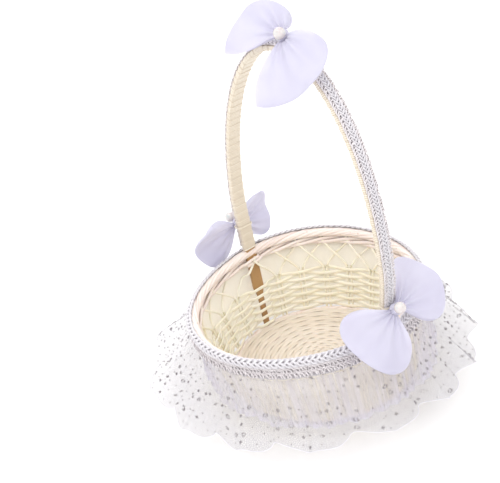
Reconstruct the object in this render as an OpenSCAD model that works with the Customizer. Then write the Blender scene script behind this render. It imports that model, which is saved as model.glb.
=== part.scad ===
// Flower girl basket: a small cane basket with a fixed arched handle, silver-white braid,
// two gathered ruffles of sheer fabric and three organza bows with pearls.
// Frame: +Z up, origin at the centre of the base where it stands. The handle arch lies in
// the XZ plane, and the fuller side of the basket faces -Y.

/* [Cane basket] */
// Radius of the wall's middle line at the floor
foot_r = 57.5; // [48:0.5:70]
// Reach of the rim to each side, below the handle
rim_side = 65; // [58:0.5:80]
// Reach of the rim to the front
rim_front = 83; // [66:0.5:100]
// Reach of the rim to the back
rim_back = 66; // [58:0.5:90]
// Height of the basket's wall
wall_h = 62; // [50:0.5:80]
// Thickness of the woven wall
wall_t = 3.4; // [2.8:0.1:5]
// Height of the closely woven lower wall
weave_h = 34; // [24:0.5:40]
// Height of the band of plain strands below the rim
strand_h = 5; // [3:0.5:8]
// Thickness of the rolled rim
rim_d = 6; // [4:0.5:9]
// Diameter of a cane stake
stake_d = 1.6; // [1:0.1:2.2]
// Number of stake pairs around the wall
stake_pairs = 24; // [16:2:32]
// Number of cane spokes in the base
spoke_count = 24; // [12:2:36]
// Height of the foot border
foot_h = 4.5; // [3:0.5:8]

/* [Handle] */
// Height where the straight legs turn into the arch
spring_h = 99; // [85:1:120]
// Height of the strip's middle line at the top of the arch
handle_h = 225; // [180:1:275]
// Width of the bamboo strip
strip_w = 8; // [6:0.5:12]
// Thickness of the bamboo strip
strip_t = 2.2; // [1.5:0.1:3]
// Thickness of the thread wound around the strip
wrap_t = 0.8; // [0.5:0.1:1.5]

/* [Braid] */
// Thickness of the braid
braid_t = 1.6; // [1:0.1:2.5]
// Width of the handle's braid
braid_w = 8.4; // [6:0.2:11]
// How far the rim's braid hangs below the rim's middle line
braid_hang = 6; // [4:0.2:7]

/* [Fabric] */
// Thickness given to each layer of gathered fabric
cloth_t = 1.2; // [0.8:0.1:2]
// Reach of the outer ruffle's hem to each side
hem_side = 101; // [90:1:125]
// Reach of the outer ruffle's hem to the front
hem_front = 114; // [98:1:140]
// Reach of the outer ruffle's hem to the back
hem_back = 94; // [88:1:120]
// Height of the outer ruffle's hem
hem_z = 20; // [12:1:30]
// Waves along the outer ruffle's hem
hem_waves = 15; // [9:1:24]
// How far the inner ruffle's hem stands out from the wall
inner_flare = 7; // [4:1:24]
// Height of the inner ruffle's hem
inner_z = 9; // [6:1:20]

/* [Bows] */
// Radius of a bow's knot
knot_r = 3; // [2.5:0.1:5]
// Radius of a pearl
pearl_r = 3.6; // [2.5:0.1:5]
// Thickness of a bow loop at its fullest
loop_t = 7; // [4:0.5:10]
// Length of the longest loops
loop_len = 38; // [28:1:46]

/* [Hidden] */

gap = 0.3;                          // room between pieces that only lie side by side
strip_off = -0.8;                   // strip's middle line, measured from the wall's
strip_out = strip_off + strip_t/2;  // strip's outer face
slot_off = strip_out + gap;         // bottom of the slot that the strip sits in
slot_turn = asin((strip_w/2 + gap)/foot_r);
pair_turn = 360/stake_pairs;
pair_gap = 2.4;                     // distance between the two stakes of a pair
pair_numbers = [for (i = [0:stake_pairs - 1]) if (i % (stake_pairs/2) != 0) i];
strand_z = wall_h - rim_d - strand_h;
braid_z = wall_h - rim_d/2;         // height of the rim's middle line
lining_off = slot_off + stake_d + 2*gap;
lining_t = 0.5;
braid_in = rim_d/2 + gap;           // radius of the rim braid's inner face
top_z = braid_z - braid_hang - gap; // upper edge of the fabric on the wall
ledge_z = stake_d + 2*gap;          // height of the foot border's ledge under the floor
hub_r = spoke_count*stake_d/5;      // radius where the spokes just clear each other
wrap_out = strip_off + strip_t/2 + wrap_t;
wrap_z = wall_h + gap;              // lower end of the winding
braid_end_z = wall_h + rim_d/2;     // lower end of the handle's braid
tie_t = 0.8;                        // thickness of the thread tied around the handle
tie_h = 1.6;                        // width of that thread
cane = "#e9dcc0";
organza = "#ece8f8";
silver = "#d8d6da";

// ---- The wall: a cone that is round at the floor and egg-shaped at the rim ----

// Half-width of the wall's middle line at height z, to the side and to front or back
function reach_x(z) = foot_r + (rim_side - foot_r)*z/wall_h;
function reach_y(turn, z) = foot_r + ((sin(turn) < 0 ? rim_front : rim_back) - foot_r)*z/wall_h;

// A point of the wall at a turn around the basket, pushed out by off
function wall(turn, z, off) =
    [(reach_x(z) + off)*cos(turn), (reach_y(turn, z) + off)*sin(turn), z];

// Turns around the basket, with extra ones at the edges of the two handle slots
function half_turns(steps) =
    let (edge = slot_turn + 1.5, run = 180 - 2*edge)
    concat([0, slot_turn], [for (i = [0:steps]) edge + run*i/steps], [180 - slot_turn]);
function turns(steps) = concat(half_turns(steps), [for (a = half_turns(steps)) 180 + a]);

// True where the wall leaves room for the handle's strip
function in_slot(turn) = abs(sin(turn)) < sin(slot_turn) + 0.001;

// Two triangles between neighbouring columns i and i + 1 and rows j and j + 1
function cell(i, j, rows, columns) =
    let (a = i*rows + j, b = i*rows + (j + 1)%rows,
         next = ((i + 1)%columns)*rows, c = next + (j + 1)%rows, d = next + j)
    [[a, b, c], [a, c, d]];

// A closed ring: place(turn, row) gives the point of each row of a closed outline
module ring(around, rows, place) {
    polyhedron(
        points = [for (turn = around) for (j = [0:rows - 1]) place(turn, j)],
        faces = [for (i = [0:len(around) - 1]) for (j = [0:rows - 1])
                 each cell(i, j, rows, len(around))]);
}

// A woven band of the wall between two heights, with a ridge for each strand
module woven_band(z_low, z_high, strands) {
    side = 2*strands;
    ridge = 0.35;
    height = z_high - z_low;
    outer = function (turn, j) wall(turn, z_low + height*j/side, wall_t/2 - ridge*(1 - j%2));
    inner = function (turn, j) wall(turn, z_high - height*j/side,
        in_slot(turn) ? slot_off : ridge*(1 - j%2) - wall_t/2);
    ring(turns(28), 2*(side + 1),
         function (turn, j) j <= side ? outer(turn, j) : inner(turn, j - side - 1));
}

// A round cane between two points
module rod(from, to, d) {
    run = to - from;
    length = norm(run);
    translate(from) rotate([0, acos(run[2]/length), atan2(run[1], run[0])])
        cylinder(h = length, d = d, $fn = 24);
}

module foot_border() {
    outer = foot_r + wall_t/2;
    inner = foot_r - wall_t/2 - wall_t;
    color(cane) rotate_extrude($fn = 96) polygon([
        [inner, 0], [outer - 1, 0], [outer, 1], [outer, foot_h],
        [foot_r - wall_t/2, foot_h], [foot_r - wall_t/2, ledge_z], [inner, ledge_z]]);
}

module base_hub() {
    color(cane) cylinder(r = hub_r, h = ledge_z, $fn = 64);
}

module base_spokes() {
    outer = foot_r - 1.5*wall_t - gap;
    z = ledge_z - stake_d/2;
    color(cane) for (i = [0:spoke_count - 1]) rotate(i*360/spoke_count)
        rod([hub_r, 0, z], [outer, 0, z], stake_d);
}

module base_weave() {
    outer = foot_r - wall_t/2 - gap;
    ribs = 16;
    rib_h = 0.7;
    pitch = outer/ribs;
    top = [for (i = [0:ribs - 1]) for (k = [0:3])
           [outer - pitch*(i + k/4), foot_h - rib_h + rib_h*sin(45*k)]];
    color(cane) rotate_extrude($fn = 96)
        polygon(concat([[0, ledge_z], [outer, ledge_z]], top, [[0, foot_h - rib_h]]));
}

module side_stakes() {
    off = -wall_t/2 - stake_d/2 - gap;
    color(cane) for (i = pair_numbers) for (side = [-1, 1]) {
        turn = i*pair_turn + side*asin(pair_gap/2/foot_r);
        rod(wall(turn, foot_h + gap, off), wall(turn, weave_h, off), stake_d);
    }
}

module lower_weave() {
    color(cane) woven_band(foot_h, weave_h, 8);
}

// Stakes that lean one way inside the strip, and the other way outside it, so each pair
// crosses its neighbours in the openwork between the two woven bands
module leaning_stakes(way, off, z_high) {
    for (i = pair_numbers) {
        turn = i*pair_turn + way*asin(pair_gap/2/foot_r);
        rod(wall(turn, weave_h + stake_d/2, off), wall(turn + way*pair_turn, z_high, off), stake_d);
    }
}

module lattice_inner() {
    color(cane) leaning_stakes(1, -wall_t/2 - stake_d/2 - gap, strand_z + strand_h);
}

module lattice_outer() {
    color(cane) leaning_stakes(-1, slot_off + gap + stake_d/2, strand_z - stake_d/2);
}

module upper_weave() {
    color(cane) woven_band(strand_z, strand_z + strand_h, 3);
}

module rim_border() {
    steps = 10;
    color(cane) ring(turns(28), steps, function (turn, j)
        let (a = 360*j/steps, off = rim_d/2*cos(a))
        wall(turn, braid_z + rim_d/2*sin(a), in_slot(turn) ? max(off, slot_off) : off));
}

module lining_band() {
    low = foot_h + gap;
    outline = [[lining_off, low], [lining_off + lining_t, low],
               [lining_off + lining_t, top_z], [lining_off, top_z]];
    color("#f3ead2") ring(turns(30), 4,
        function (turn, j) wall(turn, outline[j][1], outline[j][0]));
}

// ---- The handle ----

// Outline of the arch, pushed out by d from the strip's middle line, down to height low
function arch(d, low) =
    let (spring_x = reach_x(spring_h) + strip_off, rise = handle_h - spring_h)
    concat([[reach_x(low) + strip_off + d, low]],
           [for (a = [0:4:180]) [(spring_x + d)*cos(a), spring_h + (rise + d)*sin(a)]],
           [[-reach_x(low) - strip_off - d, low]]);

function reversed(list) = [for (i = [len(list) - 1:-1:0]) list[i]];

// A band of the arch between two offsets
module arch_band(d_in, d_out, width, low) {
    rotate([90, 0, 0]) linear_extrude(width, center = true)
        polygon(concat(arch(d_out, low), reversed(arch(d_in, low))));
}

module handle_strip() {
    color("#b9935f") arch_band(-strip_t/2, strip_t/2, strip_w, foot_h + gap);
}

module handle_wrap() {
    d = strip_t/2;
    color("#f2ecdc") difference() {
        arch_band(-d - wrap_t, d + wrap_t, strip_w + 2*wrap_t, wrap_z);
        arch_band(-d, d, strip_w, wrap_z - 1);
    }
}

module handle_braid() {
    d = strip_t/2 + wrap_t;
    color(silver) arch_band(d, d + braid_t, braid_w, braid_end_z);
}

// ---- Braid and fabric on the rim ----

// True where the rim's braid leaves room for the handle
function near_handle(turn) = abs(sin(turn)) < sin(slot_turn + 1.5) + 0.001;

// The braid hangs straight on the rim's outer side and wraps over the rim's top
module rim_braid() {
    hang_steps = 3;
    steps = 10;
    high = 95;
    high_at_handle = 58;
    color(silver) ring(turns(28), 2*(steps + 1), function (turn, j)
        let (outer = j <= steps, k = outer ? j : 2*steps + 1 - j,
             r = outer ? braid_in + braid_t : braid_in,
             top = near_handle(turn) ? high_at_handle : high,
             a = top*(k - hang_steps)/(steps - hang_steps))
        k < hang_steps ? wall(turn, braid_z - braid_hang*(1 - k/hang_steps), r)
                       : wall(turn, braid_z + r*sin(a), r*cos(a)));
}

module ruffle_heading() {
    low = top_z - strand_h;
    off = lining_off + lining_t + gap;
    color(organza) ring([for (i = [0:119]) 3*i], 4, function (turn, j)
        let (ripple = 0.5*sin(45*turn/3*2))
        wall(turn, j == 0 || j == 1 ? low : top_z, off + (j == 1 || j == 2 ? cloth_t + ripple : 0)));
}

// A gathered skirt: row 0 is the sewn top and the last row is the hem. reach(turn, s)
// gives how far its inner face stands out from the wall, and drop(turn, s) its height.
module skirt(around, rows, reach, drop) {
    ring(around, 2*rows, function (turn, j)
        let (inside = j < rows, k = inside ? j : 2*rows - 1 - j, s = k/(rows - 1))
        wall(turn, drop(turn, s), reach(turn, s) + (inside ? 0 : cloth_t)));
}

module inner_ruffle() {
    high = top_z - strand_h - gap;
    off = lining_off + lining_t + gap;
    color(organza, 0.7) skirt([for (i = [0:89]) 4*i], 6,
        function (turn, s) off + inner_flare*pow(s, 1.2) + 1.2*s*(1 + sin(18*turn)),
        function (turn, s) high + (inner_z - high)*s);
}

// Distance from the wall out to the outer hem, at the hem's height
function hem_off(turn) =
    let (across = hem_side - reach_x(hem_z),
         along = (sin(turn) < 0 ? hem_front : hem_back) - reach_y(turn, hem_z))
    across*pow(cos(turn), 2) + along*pow(sin(turn), 2);

module outer_ruffle() {
    high = top_z - gap;
    off = lining_off + lining_t + cloth_t + 3*gap + 0.5;
    wave = function (turn) sin(hem_waves*turn) + 0.45*sin((2*hem_waves + 3)*turn + 40);
    color("#f3f0f4", 0.45) skirt([for (i = [0:119]) 3*i], 9,
        function (turn, s) let (flat = hem_off(turn) - 4 - off)
            off + flat*pow(s, 1.15) + 2.4*pow(s, 1.5)*(1 + wave(turn)),
        function (turn, s) high + (hem_z - high)*s + 2*s*s*cos(hem_waves*turn + 30));
}

// ---- Bows ----

// Turns a bow so that its front faces round to turn and up by tilt
module facing(at, turn, tilt) {
    translate(at) rotate([90 - tilt, 0, turn]) children();
}

// A fan-shaped bow loop that leaves the knot along +X, opens by spread each way, and rises
// by lift off the bow's plane
module bow_loop(length, spread, skew, lift = 0) {
    along = 8;
    across = 12;
    start = knot_r;
    radius = function (u, v) start + (length - start)*u*(1 - 0.1*v*v + skew*v);
    half = function (u, v) 0.4 + loop_t/2*sin(150*u + 15)*(1 - pow(v, 4))*min(1, 3*u + 0.1);
    fold = function (u, v) 1.6*u*cos(300*v) - 3*u*u*v*v + lift*sin(90*sqrt(u));
    points = [for (face = [1, -1]) for (i = [0:along]) for (j = [0:across])
        let (u = i/along, v = 2*j/across - 1, a = spread*v)
        [radius(u, v)*cos(a), radius(u, v)*sin(a), face*half(u, v) + fold(u, v)]];
    row = across + 1;
    back = (along + 1)*row;
    edge = concat([for (j = [0:across - 1]) j], [for (i = [0:along - 1]) i*row + across],
                  [for (j = [across:-1:1]) along*row + j], [for (i = [along:-1:1]) i*row]);
    polyhedron(points = points, faces = concat(
        [for (i = [0:along - 1]) for (j = [0:across - 1]) let (a = i*row + j)
         each [[a, a + 1, a + row], [a + 1, a + row + 1, a + row]]],
        [for (i = [0:along - 1]) for (j = [0:across - 1]) let (a = back + i*row + j)
         each [[a, a + row, a + 1], [a + 1, a + row, a + row + 1]]],
        [for (k = [0:len(edge) - 1]) let (a = edge[k], b = edge[(k + 1)%len(edge)])
         each [[a, back + a, b], [b, back + a, back + b]]]));
}

// Thread tied around the handle, as a box ring whose outer face is at x = out
module tie(out) {
    deep = strip_t + 2*wrap_t + braid_t + 0.2;
    wide = strip_w + 2*wrap_t + 0.2;
    translate([out - tie_t - deep/2, 0, 0]) difference() {
        cube([deep + 2*tie_t, wide + 2*tie_t, tie_h], center = true);
        cube([deep, wide, tie_h + 1], center = true);
    }
}

// Outer face of a tie, measured from the strip's middle line
tie_out = strip_t/2 + wrap_t + braid_t + 0.1 + tie_t;
top_at = [0, 0, handle_h + tie_out + knot_r];
side_z = wall_h + 17;
leg_lean = atan((rim_side - foot_r)/wall_h);
side_x = reach_x(side_z) + strip_off + (tie_out + knot_r)*cos(leg_lean);
near_at = [side_x, 0, side_z - (tie_out + knot_r)*sin(leg_lean)];
far_at = [-side_x, 0, near_at[2]];

module top_frame() { facing(top_at, 30, 38) children(); }
module near_frame() { facing(near_at, 80, 38) children(); }
module far_frame() { facing(far_at, -86, 22) children(); }

module knot() { color(organza) sphere(r = knot_r, $fn = 48); }
module pearl() { color("#f4efec") translate([0, 0, knot_r + pearl_r]) sphere(r = pearl_r, $fn = 48); }

module top_knot() {
    color(organza) {
        top_frame() knot();
        translate([0, 0, handle_h]) rotate([0, -90, 0]) tie(tie_out);
    }
}

module side_tie() {
    translate([reach_x(side_z) + strip_off, 0, side_z]) rotate([0, leg_lean, 0]) tie(tie_out);
}

module near_knot() {
    color(organza) {
        near_frame() knot();
        side_tie();
    }
}

module far_knot() {
    color(organza) {
        far_frame() knot();
        mirror([1, 0, 0]) side_tie();
    }
}

module top_pearl() { top_frame() pearl(); }
module near_pearl() { near_frame() pearl(); }
module far_pearl() { far_frame() pearl(); }

module top_loop_left() { color(organza) top_frame() rotate(138) bow_loop(0.7*loop_len, 60, 0.46); }
module top_loop_right() { color(organza) top_frame() rotate(-50) bow_loop(loop_len, 50, -0.2, 12); }
module near_loop_left() { color(organza) near_frame() rotate(215) bow_loop(loop_len, 45, 0); }
module near_loop_right() { color(organza) near_frame() rotate(16) bow_loop(0.88*loop_len, 45, 0); }
module far_loop_left() {
    color(organza) far_frame() rotate(186) rotate([-30, 0, 0]) bow_loop(0.75*loop_len, 42, 0);
}

module far_loop_right() {
    color(organza) far_frame() rotate(-18) rotate([10, 0, 0]) bow_loop(0.9*loop_len, 44, 0);
}

foot_border();
base_hub();
base_spokes();
base_weave();
side_stakes();
lower_weave();
lattice_inner();
lattice_outer();
upper_weave();
rim_border();
lining_band();
handle_strip();
handle_wrap();
handle_braid();
rim_braid();
ruffle_heading();
inner_ruffle();
outer_ruffle();
top_knot();
top_pearl();
top_loop_left();
top_loop_right();
near_knot();
near_pearl();
near_loop_left();
near_loop_right();
far_knot();
far_pearl();
far_loop_left();
far_loop_right();
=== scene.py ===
"""The looks of a flower girl basket: a small cane basket with a bamboo handle wound in
thread, silvery gimp on the handle and rim, two gathered ruffles and three organza bows.

Lengths are in metres. The frame has +Z up, and the handle's arch lies in the XZ plane.
"""

import math

import bpy
import numpy as np
from mathutils import Matrix, Vector

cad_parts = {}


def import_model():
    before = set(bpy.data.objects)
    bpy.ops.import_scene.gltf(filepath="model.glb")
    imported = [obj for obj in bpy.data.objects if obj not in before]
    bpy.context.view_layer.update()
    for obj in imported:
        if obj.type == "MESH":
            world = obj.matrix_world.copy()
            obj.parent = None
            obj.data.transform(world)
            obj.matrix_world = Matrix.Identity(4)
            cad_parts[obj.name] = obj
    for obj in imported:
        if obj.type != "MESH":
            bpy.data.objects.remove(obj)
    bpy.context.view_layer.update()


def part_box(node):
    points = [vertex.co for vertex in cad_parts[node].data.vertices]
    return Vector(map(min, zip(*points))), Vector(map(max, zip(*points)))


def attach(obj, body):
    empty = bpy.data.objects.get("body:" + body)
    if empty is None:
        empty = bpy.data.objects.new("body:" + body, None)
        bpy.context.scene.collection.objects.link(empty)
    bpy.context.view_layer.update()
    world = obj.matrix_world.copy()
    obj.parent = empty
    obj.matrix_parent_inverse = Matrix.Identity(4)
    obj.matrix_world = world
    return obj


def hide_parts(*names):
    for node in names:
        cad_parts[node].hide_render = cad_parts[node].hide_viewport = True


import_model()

TAU = 2 * math.pi

# ---- Sizes of the basket, from the CAD nodes' boxes ----

foot_low, foot_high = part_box("foot_border")
weave_low, weave_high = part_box("lower_weave")
plain_low, plain_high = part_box("upper_weave")
rim_low, rim_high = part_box("rim_border")
lining_low, lining_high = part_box("lining_band")
strip_low, strip_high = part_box("handle_strip")
wrap_low, wrap_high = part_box("handle_wrap")
braid_low, braid_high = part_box("handle_braid")
hub_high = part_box("base_hub")[1]
spoke_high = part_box("base_spokes")[1]
heading_low, heading_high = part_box("ruffle_heading")
inner_low, inner_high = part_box("inner_ruffle")
outer_low, outer_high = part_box("outer_ruffle")
gimp_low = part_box("rim_braid")[0]

WALL_T = 0.0034
FOOT_R = foot_high.x - WALL_T / 2
RIM_R = (rim_high.z - rim_low.z) / 2
RIM_Z = (rim_high.z + rim_low.z) / 2
RIM_SIDE = rim_high.x - RIM_R
RIM_FRONT = -rim_low.y - RIM_R
RIM_BACK = rim_high.y - RIM_R
GIMP_HANG = RIM_Z - gimp_low.z

STRIP_T = 0.0022
STRIP_OFF = -0.0008
STRIP_W = strip_high.y - strip_low.y
HANDLE_Z = strip_high.z - STRIP_T / 2
WRAP_T = wrap_high.z - strip_high.z
TAPE_PITCH = 0.0052   # length of strip that each turn of tape covers
BRAID_T = braid_high.z - wrap_high.z
BRAID_W = braid_high.y - braid_low.y
LEG_SLOPE = (RIM_SIDE - FOOT_R) / RIM_Z
SPRING_Z = (strip_high.x - STRIP_T / 2 - STRIP_OFF - FOOT_R) / LEG_SLOPE

PAIRS = 24            # stake pairs around the wall
STAKE_R = 0.0008
PAIR_HALF = 0.00125   # from the middle of a pair to each of its stakes
CANE_GAP = 0.0001

LINING_T = 0.0005
LINING_OFF = lining_high.x - LINING_T - FOOT_R - LEG_SLOPE * lining_high.z


# ---- Shapes ----

def side_reach(z):
    """Half-width of the wall's middle line at height z, towards the handle's feet."""
    return FOOT_R + LEG_SLOPE * z


def front_reach(turn, z):
    """Half-length of the wall's middle line at height z, to the front or to the back."""
    rim = np.where(np.sin(turn) < 0, RIM_FRONT, RIM_BACK)
    return FOOT_R + (rim - FOOT_R) * z / RIM_Z


def wall(turn, z, off):
    """Points of the wall at a turn around the basket, pushed out by off."""
    turn, z, off = np.broadcast_arrays(turn, z, off)
    x = (side_reach(z) + off) * np.cos(turn)
    y = (front_reach(turn, z) + off) * np.sin(turn)
    return np.stack([x, y, z], -1)


def outward(turn):
    """Level directions away from the basket's middle."""
    return np.stack([np.cos(turn), np.sin(turn), np.zeros_like(turn)], -1)


def around(steps, start=0.0):
    """Evenly spaced turns, once around."""
    return start + np.arange(steps) * TAU / steps


def unit(vectors):
    return vectors / np.linalg.norm(vectors, axis=-1, keepdims=True)


def smooth(share):
    """Eases a share from 0 to 1, and holds it there."""
    share = np.clip(share, 0, 1)
    return share * share * (3 - 2 * share)


def wobble(turn, waves, seed):
    """A wandering curve of about unit height that closes on itself, from seeded waves."""
    draw = np.random.default_rng(seed)
    total = 0
    for wave in waves:
        total = total + np.sin(wave * turn + draw.uniform(0, TAU)) * draw.uniform(0.6, 1)
    return total / math.sqrt(len(waves))


def grid_faces(rows, columns, close_rows=False, close_columns=False):
    """Quads between neighbouring points of a grid, numbered along each row in turn."""
    row = np.arange(rows if close_rows else rows - 1)[:, None]
    column = np.arange(columns if close_columns else columns - 1)[None, :]
    next_row = (row + 1) % rows
    next_column = (column + 1) % columns
    corners = [row * columns + column, row * columns + next_column,
               next_row * columns + next_column, next_row * columns + column]
    return np.stack(np.broadcast_arrays(*corners), -1).reshape(-1, 4)


def oval(half_out, half_up, sides=10):
    """Outline of a strand: how far out and how far up each of its points is."""
    a = around(sides)
    return np.stack([half_out * np.cos(a), half_up * np.sin(a)], -1)


def block(half_out, half_up, sides=24, power=0.3):
    """Outline of a flat strip with rounded edges."""
    a = around(sides)
    c, s = np.cos(a), np.sin(a)
    return np.stack([half_out * np.sign(c) * np.abs(c) ** power,
                     half_up * np.sign(s) * np.abs(s) ** power], -1)


def run_of(path):
    """The length along a path at each of its points."""
    return np.concatenate([[0], np.cumsum(np.linalg.norm(np.diff(path, axis=0), axis=1))])


def sweep(path, out, outline, closed=False, tone=0.0):
    """A strand: an outline carried along a path, with its first axis kept towards out.
    Gives points, faces, and each point's place: length along, share around, tone."""
    if closed:
        along = np.roll(path, -1, 0) - np.roll(path, 1, 0)
    else:
        along = np.gradient(path, axis=0)
    along = unit(along)
    out = unit(out - (out * along).sum(-1, keepdims=True) * along)
    up = np.cross(along, out)
    outline = np.broadcast_to(outline, (len(path),) + outline.shape[-2:])
    points = path[:, None] + outline[..., :1] * out[:, None] + outline[..., 1:] * up[:, None]
    rows, sides = points.shape[:2]
    length = run_of(path)
    place = np.stack(np.broadcast_arrays(length[:, None], np.arange(sides) / sides, tone), -1)
    points, place = points.reshape(-1, 3), place.reshape(-1, 3)
    faces = grid_faces(rows, sides, close_rows=closed, close_columns=True).tolist()
    if not closed:
        faces.append(list(range(sides)))
        faces.append(list(range(rows * sides - 1, (rows - 1) * sides - 1, -1)))
    return points, faces, place


def sheet_of(points, closed=False, flip=False):
    """A sheet of cloth from a grid of points. Its place is the length along and down it."""
    rows, columns = points.shape[:2]
    along = np.linalg.norm(np.diff(points, axis=0), axis=-1).mean(1)
    down = np.linalg.norm(np.diff(points, axis=1), axis=-1).mean(0)
    along = np.concatenate([[0], np.cumsum(along)])[:, None]
    down = np.concatenate([[0], np.cumsum(down)])[None, :]
    place = np.stack(np.broadcast_arrays(along, down, 0.0), -1).reshape(-1, 3)
    faces = grid_faces(rows, columns, close_rows=closed)
    if flip:
        faces = faces[:, ::-1]
    return points.reshape(-1, 3), faces.tolist(), place


def join(parts):
    """Several shapes as one."""
    points, faces, place = [], [], []
    start = 0
    for part_points, part_faces, part_place in parts:
        points.append(part_points)
        place.append(part_place)
        faces.extend([[start + i for i in face] for face in part_faces])
        start += len(part_points)
    return np.concatenate(points), faces, np.concatenate(place)


def piece(name, parts, material, nodes=()):
    """A smooth mesh object that rides on the basket and stands for some CAD nodes."""
    points, faces, place = join(parts)
    mesh = bpy.data.meshes.new(name)
    mesh.from_pydata(points.tolist(), [], faces)
    layer = mesh.attributes.new("place", "FLOAT_VECTOR", "POINT")
    layer.data.foreach_set("vector", place.astype(np.float32).ravel())
    mesh.shade_smooth()
    mesh.materials.append(material)
    made = bpy.data.objects.new(name, mesh)
    bpy.context.scene.collection.objects.link(made)
    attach(made, "root")
    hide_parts(*nodes)
    return made


# ---- Materials ----

def colour(red, green, blue):
    """A display colour, 0 to 255, as the linear values that a shader takes."""
    share = np.array([red, green, blue]) / 255
    linear = np.where(share <= 0.04045, share / 12.92, ((share + 0.055) / 1.055) ** 2.4)
    return (*linear.tolist(), 1.0)


class Shader:
    """A material whose nodes are added one call at a time."""

    def __init__(self, name):
        self.material = bpy.data.materials.new(name)
        self.material.use_nodes = True
        self.tree = self.material.node_tree
        self.body = self.tree.nodes["Principled BSDF"]

    def add(self, kind, links=(), **values):
        """A node of this kind. links are (input, socket) pairs, and values set properties."""
        node = self.tree.nodes.new(kind)
        for name, value in values.items():
            setattr(node, name, value)
        for name, source in links:
            if hasattr(source, "is_output"):
                self.tree.links.new(source, node.inputs[name])
            else:
                node.inputs[name].default_value = source
        return node

    def set(self, **values):
        """Plain values of the main shader, with spaces written as underscores."""
        for name, value in values.items():
            self.body.inputs[name.replace("_", " ")].default_value = value

    def feed(self, name, socket):
        self.tree.links.new(socket, self.body.inputs[name])

    def place(self, scale):
        """The place along and across each piece, scaled."""
        source = self.add("ShaderNodeAttribute", attribute_name="place")
        node = self.add("ShaderNodeMapping", [("Vector", source.outputs["Vector"])])
        node.inputs["Scale"].default_value = scale
        return node.outputs["Vector"]

    def solid(self, scale=1.0):
        """The place in the object's own space, scaled."""
        source = self.add("ShaderNodeTexCoord")
        node = self.add("ShaderNodeMapping", [("Vector", source.outputs["Object"])])
        node.inputs["Scale"].default_value = (scale,) * 3
        return node.outputs["Vector"]

    def noise(self, vector, scale=1.0, detail=3.0):
        node = self.add("ShaderNodeTexNoise",
                        [("Vector", vector), ("Scale", scale), ("Detail", detail)])
        return node.outputs["Fac"]

    def ramp(self, factor, *stops):
        """Colours at shares of the way from 0 to 1."""
        node = self.add("ShaderNodeValToRGB", [("Fac", factor)])
        band = node.color_ramp.elements
        while len(band) < len(stops):
            band.new(0.5)
        for element, (share, shade) in zip(band, stops):
            element.position = share
            element.color = shade
        return node.outputs["Color"]

    def spread(self, factor, low, high, to_low=0.0, to_high=1.0):
        """Maps low..high to to_low..to_high."""
        node = self.add("ShaderNodeMapRange", [
            ("Value", factor), ("From Min", low), ("From Max", high),
            ("To Min", to_low), ("To Max", to_high)])
        return node.outputs["Result"]

    def mix(self, factor, first, second):
        node = self.add("ShaderNodeMix", data_type="RGBA")
        for index, source in ((0, factor), (6, first), (7, second)):
            if hasattr(source, "is_output"):
                self.tree.links.new(source, node.inputs[index])
            else:
                node.inputs[index].default_value = source
        return node.outputs[2]

    def math(self, operation, first, second=0.0):
        node = self.add("ShaderNodeMath", [(0, first), (1, second)], operation=operation)
        return node.outputs[0]

    def bump(self, height, strength, distance):
        """Fine relief, on top of any given before."""
        links = [("Height", height), ("Strength", strength), ("Distance", distance)]
        before = self.body.inputs["Normal"]
        if before.is_linked:
            links.append(("Normal", before.links[0].from_socket))
        node = self.add("ShaderNodeBump", links)
        self.feed("Normal", node.outputs["Normal"])


def fibre(name, dark, mid, light, spots, roughness=0.55):
    """Cane or bamboo: long fibres, a tone of its own for each strand, and small marks."""
    m = Shader(name)
    grain = m.noise(m.place((90, 14, 37)), detail=4)
    fine = m.noise(m.place((160, 60, 53)), scale=2, detail=3)
    tone = m.noise(m.place((6, 0, 91)), scale=1.5, detail=2)
    shade = m.ramp(tone, (0.3, dark), (0.5, mid), (0.72, light))
    streaked = m.mix(m.spread(grain, 0.35, 0.75), shade, mid)
    marks = m.spread(m.noise(m.solid(420), detail=2), 0.66, 0.74, 0, 0.55)
    m.feed("Base Color", m.mix(marks, streaked, spots))
    m.feed("Roughness", m.spread(fine, 0.3, 0.7, roughness - 0.12, roughness + 0.15))
    m.set(Coat_Weight=0.12, Coat_Roughness=0.35, Subsurface_Weight=0.12,
          Subsurface_Radius=(0.002, 0.0014, 0.0009))
    m.bump(fine, 0.5, 0.0002)
    m.bump(grain, 0.4, 0.0003)
    return m.material


def see_through(m, shade, translucent, cover):
    """Lets light glow through a shader, and shows what is behind it where cover is low."""
    glow = m.add("ShaderNodeBsdfTranslucent", [("Color", shade)])
    lit = m.add("ShaderNodeMixShader", [(0, translucent), (1, m.body.outputs[0]),
                                        (2, glow.outputs[0])])
    clear = m.add("ShaderNodeBsdfTransparent")
    seen = m.add("ShaderNodeMixShader", [(0, cover), (1, clear.outputs[0]),
                                         (2, lit.outputs[0])])
    out = m.tree.nodes["Material Output"]
    m.tree.links.new(seen.outputs[0], out.inputs["Surface"])


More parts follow.
